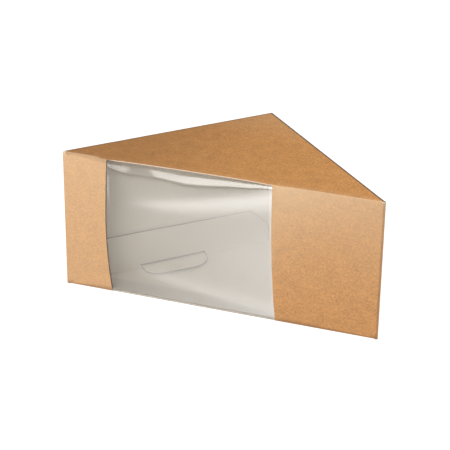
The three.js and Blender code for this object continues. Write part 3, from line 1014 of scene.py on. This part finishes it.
def board_material(name, dark, pale, hair, speck, painted_shade, painted_sheen, roughness, specular,
                   mottle_size, mottle, clouds, hairs, bump_depth, speck_share=0.1):
    """Board that is mottled between dark and pale, with hairs and specks, painted sheen and painted
    shade at creases and edges.
    """
    material = bpy.data.materials.new(name)
    material.use_nodes = True
    tree = material.node_tree
    link = tree.links.new
    surface = tree.nodes["Principled BSDF"]
    surface.inputs["Specular IOR Level"].default_value = specular
    place = add_node(tree, "ShaderNodeUVMap", uv_map="blank")
    fibres = add_node(tree, "ShaderNodeGroup", node_tree=board_fibres)
    fibres.inputs["Mottle Size"].default_value = mottle_size
    fibres.inputs["Cloud Size"].default_value = CLOUD_SIZE
    fibres.inputs["Speck Share"].default_value = speck_share
    link(place.outputs["UV"], fibres.inputs["Place"])

    level = 0.5 - (mottle + clouds) / 2
    mottled = arithmetic(tree, "MULTIPLY_ADD", fibres.outputs["Mottle"], mottle, level)
    clouded = arithmetic(
        tree, "MULTIPLY_ADD", fibres.outputs["Clouds"], clouds, mottled, use_clamp=True
    )
    ground = add_node(tree, "ShaderNodeMix", data_type="RGBA")
    ground.inputs["A"].default_value = (*dark, 1)
    ground.inputs["B"].default_value = (*pale, 1)
    link(clouded, ground.inputs["Factor"])
    colour = mixed_colour(tree, fibres.outputs["Hairs"], ground.outputs["Result"], hair, hairs)
    colour = mixed_colour(tree, fibres.outputs["Specks"], colour, speck, SPECK_STRENGTH)
    # Painted sheen and highlight, from the pale numbers on the mesh.
    sheen_mask = add_node(tree, "ShaderNodeAttribute", attribute_name="pale")
    colour = mixed_colour(tree, sheen_mask.outputs["Fac"], colour, painted_sheen, SHEEN_PAINT_STRENGTH)
    # Painted shade at the creases and cut edges, from the dark numbers on the mesh.
    creases = add_node(tree, "ShaderNodeAttribute", attribute_name="dark")
    colour = mixed_colour(tree, creases.outputs["Fac"], colour, painted_shade)
    link(colour, surface.inputs["Base Color"])

    smooth, rough = roughness - ROUGH_SPREAD, roughness + ROUGH_SPREAD
    uneven = stretched(tree, fibres.outputs["Mottle"], 0.3, 0.7, smooth, rough)
    link(uneven, surface.inputs["Roughness"])
    relief = add_node(tree, "ShaderNodeBump", Strength=0.35, Distance=bump_depth)
    link(fibres.outputs["Height"], relief.inputs["Height"])
    link(relief.outputs["Normal"], surface.inputs["Normal"])
    return material


# %% Board materials
kraft = board_material(
    "kraft_outside", dark=(0.25, 0.112, 0.028), pale=(0.66, 0.303, 0.089),
    hair=(0.50, 0.27, 0.11), speck=(0.16, 0.065, 0.02), painted_shade=(0.10, 0.045, 0.016),
    painted_sheen=(0.67, 0.50, 0.325), roughness=0.5, specular=0.4, mottle_size=1.2, mottle=1.7,
    clouds=0.45, hairs=0.15, bump_depth=0.00006, speck_share=0.04,
)
white = board_material(
    "white_inside", dark=(0.84, 0.77, 0.665), pale=(0.92, 0.86, 0.765),
    hair=(0.90, 0.85, 0.78), speck=(0.6, 0.52, 0.44), painted_shade=(0.15, 0.115, 0.085),
    painted_sheen=(0.8, 0.75, 0.69), roughness=0.6, specular=0.5, mottle_size=2.2, mottle=0.8,
    clouds=0.5, hairs=0.2, bump_depth=0.00003, speck_share=0.02,
)
cut_edge = board_material(
    "cut_edge", dark=(0.68, 0.45, 0.29), pale=(0.91, 0.72, 0.53),
    hair=(0.9, 0.8, 0.68), speck=(0.4, 0.26, 0.15), painted_shade=(0.075, 0.034, 0.014),
    painted_sheen=(0.9, 0.8, 0.7), roughness=0.8, specular=0.2, mottle_size=0.9, mottle=1.0,
    clouds=0.3, hairs=0.3, bump_depth=0.00008,
)
BOARD_MATERIALS = [kraft, white, cut_edge]
print("board materials", [m.name for m in BOARD_MATERIALS])

# %% [markdown]
# ## The folded board
# The carton's walls are welded along the front's folds. The flaps hang on slanting creases, so
# their slices don't meet those of the top and the floor, and they stay sheets of their own that
# start exactly where the other ends. The lid is a piece of its own, because it opens.

# %% Carton and lid
carton = folded_board("carton_board", [
    ["left_strip", "right_panel", "top", "floor", "right_wall"], ["inner_flap"], ["top_glue_flap"],
    ["floor_glue_flap"],
], BOARD_MATERIALS)
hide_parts("carton")
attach(carton, "carton")

lid = folded_board("lid_board", [["lid", "tab"]], BOARD_MATERIALS)
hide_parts("lid")
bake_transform(lid)

# %% [markdown]
# ## Window film
# The film is a springy sheet that is glued behind the front and folded over with it. It fits
# tightly round the floor's crease, but under the top it turns in a wide curve, which buckles
# near the window's left corner. That curve catches the light as a long streak. The film is a
# thin closed shell on a grid, and the radius of its upper curve changes along the window.

# %% Sizes of the film
FILM_LOW, FILM_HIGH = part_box("window_film")
FILM_THICKNESS = 0.04 * MM
FILM_GAP = 0.06 * MM
FLOOR_BEND = 1.1 * MM
FILM_FLANGE = FILM_HIGH.y - FILM_LOW.y
FILM_COLUMNS = 140
BEND_STEPS = 14
RISE_STEPS = 30
SWAY = 0.1 * MM
WINDOW_WIDTH = WINDOW_RIGHT - WINDOW_LEFT
# How far along the window, from 0 to 1, and the radius there in mm.
TOP_BENDS = [
    (-0.2, 2.0), (-0.02, 3.6), (0.05, 7.6), (0.1, 9.5), (0.15, 9.8), (0.27, 9.5), (0.36, 10.0),
    (0.5, 11.8), (0.62, 10.2), (0.75, 7.7), (0.87, 6.0), (0.97, 3.2), (1.2, 2.2),
]


def top_bend(x):
    """The upper curve's radius at x, eased over a few millimetres."""
    places, radii = zip(*TOP_BENDS)
    share = (x - WINDOW_LEFT) / WINDOW_WIDTH
    near = [np.interp(share + step * 0.02, places, radii) for step in (-2, -1, 0, 1, 2)]
    return float(np.dot(near, (0.1, 0.2, 0.4, 0.2, 0.1))) * MM


middle_bend = top_bend(WINDOW_LEFT + WINDOW_WIDTH / 2)
print(f"upper curve {middle_bend / MM:.1f} mm in the middle of the window")


# %% The film's section
def film_profile(bend, thickness):
    """The film's section, (inward, up), from the floor's flange to the top's."""
    low, high = FILM_LOW.z + thickness, FILM_HIGH.z - thickness
    floor_radius, top_radius = FLOOR_BEND - thickness, bend - thickness
    points = [(FILM_FLANGE, low)]
    for i in range(BEND_STEPS + 1):
        angle = QUARTER * i / BEND_STEPS
        points.append((
            FLOOR_BEND - floor_radius * math.sin(angle),
            low + floor_radius - floor_radius * math.cos(angle),
        ))
    foot, head = low + floor_radius, high - top_radius
    points += [
        (thickness, foot + (head - foot) * i / RISE_STEPS) for i in range(1, RISE_STEPS)
    ]
    for i in range(BEND_STEPS + 1):
        angle = QUARTER * i / BEND_STEPS
        points.append((
            bend - top_radius * math.cos(angle),
            high - top_radius + top_radius * math.sin(angle),
        ))
    return points + [(FILM_FLANGE, high)]


print(len(film_profile(middle_bend, 0)), "points in a section of the film")

# %% [markdown]
# ## Where the film sticks and where painted reflection lies
# Near the window's left corner the film is buckled on to the board, which turns its highlight away;
# there its gloss is taken away as a painted patch. Bands of painted reflection add gloss to other
# parts of the film. Folds as fine as that could be modelled, but they would need a very dense mesh.
# Both are worked out for each point of the film instead, as a share from 0 to 1.

# %% Where the film sticks
# The buckled patch, in shares of the window's width, where the gloss is taken away as a painted
# patch with no highlight. Its right end slants.
DULL_PATCH_STRENGTH = 0.8
PATCH_FROM, PATCH_TO, PATCH_SLANT = 0.11, 0.22, 1.3
PATCH_HEIGHT = 10 * MM


def glued(x, y, z):
    """1 where the film sticks to the board, which takes away its gloss, and in the painted patch with
    no gloss; 0 where it's free.
    """
    inward = y - FILM_LOW.y
    across = (x - WINDOW_LEFT) / WINDOW_WIDTH
    slant = (HEIGHT - z) / WINDOW_WIDTH * PATCH_SLANT
    rises = (z - HEIGHT + PATCH_HEIGHT) / (4 * MM)
    starts = (across - PATCH_FROM) / 0.05
    stops = (PATCH_TO + slant - across) / 0.035
    # The painted patch with no gloss.
    twist = max(0, min(1, rises, starts, stops))
    sides = max((WINDOW_LEFT - x), (x - WINDOW_RIGHT - RIGHT_FOOT_SWEEP)) / MM
    flanges = (inward - 0.3 * MM) / MM
    if z > HEIGHT / 2:
        flanges = (inward / top_bend(x) - 0.55) / 0.1
    return min(1.0, max(0.0, sides, flanges, DULL_PATCH_STRENGTH * twist))


print("the film is free in the middle:", glued(0, FILM_LOW.y, HEIGHT / 2) == 0)


# %% Where the film gets painted reflection
def soft_band(z, middle, above, below):
    """1 in the middle of a level band, falling off over two different distances."""
    return math.exp(-((z - middle) / (above if z > middle else below)) ** 2)


def upper_band(across, z):
    """Painted reflection: the wide band in the upper half, which climbs and broadens to the right."""
    middle = (54.2 + 4.5 * across + 12.5 * across ** 2) * MM
    band = soft_band(z, middle, (1.4 + 2.6 * across) * MM, (1.8 + 5.2 * across) * MM)
    return band * ramp(across, 0.1, 0.25) * (0.11 + 0.21 * across)


def lower_band(across, z):
    """Painted reflection: the thin band near the foot, which sinks to the right."""
    middle = (17.5 - 12.5 * across) * MM
    return 0.1 * soft_band(z, middle, 5 * MM, 2 * MM) * ramp(across, 0.15, 0.2)


def right_edge_glint(x, z):
    """Painted highlight: the bright line beside the window's right edge."""
    sweep = RIGHT_FOOT_SWEEP * (1 - min(1, z / RIGHT_SWEEP_TOP)) ** 2
    to_edge = (x - WINDOW_RIGHT - sweep) / MM
    return (0.12 if z > 40 * MM else 0.1) * math.exp(-((to_edge + 0.3) / 0.6) ** 2)


def left_edge_glint(x, z):
    """Painted highlight: the short bright line beside the window's left edge."""
    line = 0.14 * soft_band(z, 64 * MM, 6 * MM, 9 * MM)
    return line * math.exp(-((x - WINDOW_LEFT - 1.6 * MM) / (0.5 * MM)) ** 2)


def sheen(x, y, z):
    """Painted reflection: extra gloss, from 0 to 1, in bands and lines over the film."""
    across = ramp(x, WINDOW_LEFT, WINDOW_WIDTH)
    bands = upper_band(across, z) + lower_band(across, z)
    # Painted reflection over the whole window, stronger to the right and lower down.
    wide = across * (0.1 * soft_band(z, 55 * MM, 22 * MM, 60 * MM) + 0.21 * (1 - z / HEIGHT))
    return bands + wide + right_edge_glint(x, z) + left_edge_glint(x, z)


middle_sheen = sheen(0, FILM_LOW.y, HEIGHT / 2)
print(f"extra gloss in the middle of the film: {middle_sheen:.2f}")


# %% Film mesh
def film_points(columns):
    """Both faces of the film, as one section after the other, with a faint sway."""
    points = []
    for thickness in (0, FILM_THICKNESS):
        for x in columns:
            for inward, up in film_profile(top_bend(x), thickness):
                sway = SWAY * noise.noise(Vector((x * 22, up * 16, 3.1))) + SWAY
                y = FILM_LOW.y + FILM_GAP + inward + sway
                points.append((x, y, up - float(lip_drop(x, y, up))))
    return points


def film_faces(columns, rows):
    """A grid of faces on each side, and a strip that closes them along their edge."""
    faces = []
    layer = columns * rows
    for i in range(columns - 1):
        for j in range(rows - 1):
            ring = [i * rows + j, (i + 1) * rows + j, (i + 1) * rows + j + 1, i * rows + j + 1]
            faces.append(ring)
            faces.append([k + layer for k in reversed(ring)])
    edge = [i * rows for i in range(columns)]
    edge += [(columns - 1) * rows + j for j in range(1, rows)]
    edge += [i * rows + rows - 1 for i in range(columns - 2, -1, -1)]
    edge += list(range(rows - 2, 0, -1))
    for a, b in zip(edge, edge[1:] + edge[:1]):
        faces.append([b, a, a + layer, b + layer])
    return faces


film_mesh = bpy.data.meshes.new("film")
points = film_points(np.linspace(FILM_LOW.x, FILM_HIGH.x, FILM_COLUMNS))
faces = film_faces(FILM_COLUMNS, len(points) // (2 * FILM_COLUMNS))
film_mesh.from_pydata(points, [], faces)
store(film_mesh, "glued", "POINT", [glued(*point) for point in points])
store(film_mesh, "sheen", "POINT", [sheen(*point) for point in points])
film_mesh.polygons.foreach_set("use_smooth", [True] * len(faces))
film = in_scene("film", film_mesh)
print("film", len(points), "points")

# %% [markdown]
# ## Film material
# The film is clear and very glossy. Glass would bend the light as a thick block does, which a film
# this thin doesn't. So the light passes straight through, and a mirror gloss is mixed in: little
# where one looks straight at the film, and more at a slant. The bands of painted reflection add to
# the gloss, and the stuck places and the painted patch near the left corner take it away.

# %% Film material
def film_material():
    """Clear film: mostly see-through, with a mirror gloss that grows at a slant."""
    material = bpy.data.materials.new("clear_film")
    material.use_nodes = True
    tree = material.node_tree
    link = tree.links.new
    shine = tree.nodes["Principled BSDF"]
    shine.inputs["Base Color"].default_value = (1.0, 0.97, 0.92, 1)
    shine.inputs["Metallic"].default_value = 1.0
    shine.inputs["Roughness"].default_value = 0.2
    clear = add_node(tree, "ShaderNodeBsdfTransparent", Color=(0.985, 0.985, 0.985, 1))
    angle = add_node(tree, "ShaderNodeFresnel", IOR=1.5)
    stuck = add_node(tree, "ShaderNodeAttribute", attribute_name="glued").outputs["Fac"]
    # Painted reflection in bands and lines, from the sheen numbers.
    reflection_bands = add_node(tree, "ShaderNodeAttribute", attribute_name="sheen").outputs["Fac"]
    free = arithmetic(tree, "SUBTRACT", 1.0, stuck, use_clamp=True)
    gloss = arithmetic(tree, "ADD", angle.outputs["Fac"], reflection_bands, use_clamp=True)
    blend = tree.nodes.new("ShaderNodeMixShader")
    link(arithmetic(tree, "MULTIPLY", gloss, free, use_clamp=True), blend.inputs["Fac"])
    link(clear.outputs["BSDF"], blend.inputs[1])
    link(shine.outputs["BSDF"], blend.inputs[2])
    link(blend.outputs["Shader"], tree.nodes["Material Output"].inputs["Surface"])
    return material


film_mesh.materials.append(film_material())
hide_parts("window_film")
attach(film, "carton")
print("film material", film_mesh.materials[0].name)

# %% [markdown]
# ## Floor and light
# The box stands alone on a plain white sweep. A wide soft lamp in front lights the walls and shows
# as a streak in the film, one on the right lights the top, and a pale world fills the shadows.

# %% Pale floor
REACH = 6
FLOOR_GLOW = 0.85
floor_corners = [(-REACH, -REACH, 0), (REACH, -REACH, 0), (REACH, REACH, 0), (-REACH, REACH, 0)]
floor_mesh = bpy.data.meshes.new("floor")
floor_mesh.from_pydata(floor_corners, [], [(0, 1, 2, 3)])
floor = in_scene("floor", floor_mesh)
pale = bpy.data.materials.new("pale_floor")
pale.use_nodes = True
pale_surface = pale.node_tree.nodes["Principled BSDF"]
pale_surface.inputs["Base Color"].default_value = (0.35, 0.35, 0.35, 1)
pale_surface.inputs["Roughness"].default_value = 0.9
pale_surface.inputs["Emission Color"].default_value = (1, 1, 1, 1)
pale_surface.inputs["Emission Strength"].default_value = FLOOR_GLOW
floor_mesh.materials.append(pale)
print("floor", 2 * REACH, "m wide")

# %% World and lamps
WORLD_LIGHT = 0.33
world = bpy.data.worlds.new("studio")
bpy.context.scene.world = world
world.use_nodes = True
world.node_tree.nodes["Background"].inputs["Color"].default_value = (1, 1, 1, 1)
world.node_tree.nodes["Background"].inputs["Strength"].default_value = WORLD_LIGHT


def softbox(name, azimuth, elevation, distance, size, power):
    """A rectangle lamp that faces the box. It lights the scene but isn't seen itself."""
    lamp = bpy.data.lights.new(name, "AREA")
    lamp.shape = "RECTANGLE"
    lamp.size, lamp.size_y = size
    lamp.energy = power
    thing = in_scene(name, lamp)
    thing.visible_camera = False
    aim(thing, Vector((0, 0, HEIGHT / 2)), math.radians(azimuth), math.radians(elevation), distance)


# Azimuth and elevation in degrees, distance and size in metres, and power in watts.
softbox("front_softbox", -33, 33, 0.6, (0.85, 0.36), 3.45)
softbox("right_softbox", 100, 52, 0.32, (0.25, 0.25), 0.63)
bpy.context.scene.view_settings.view_transform = "Standard"
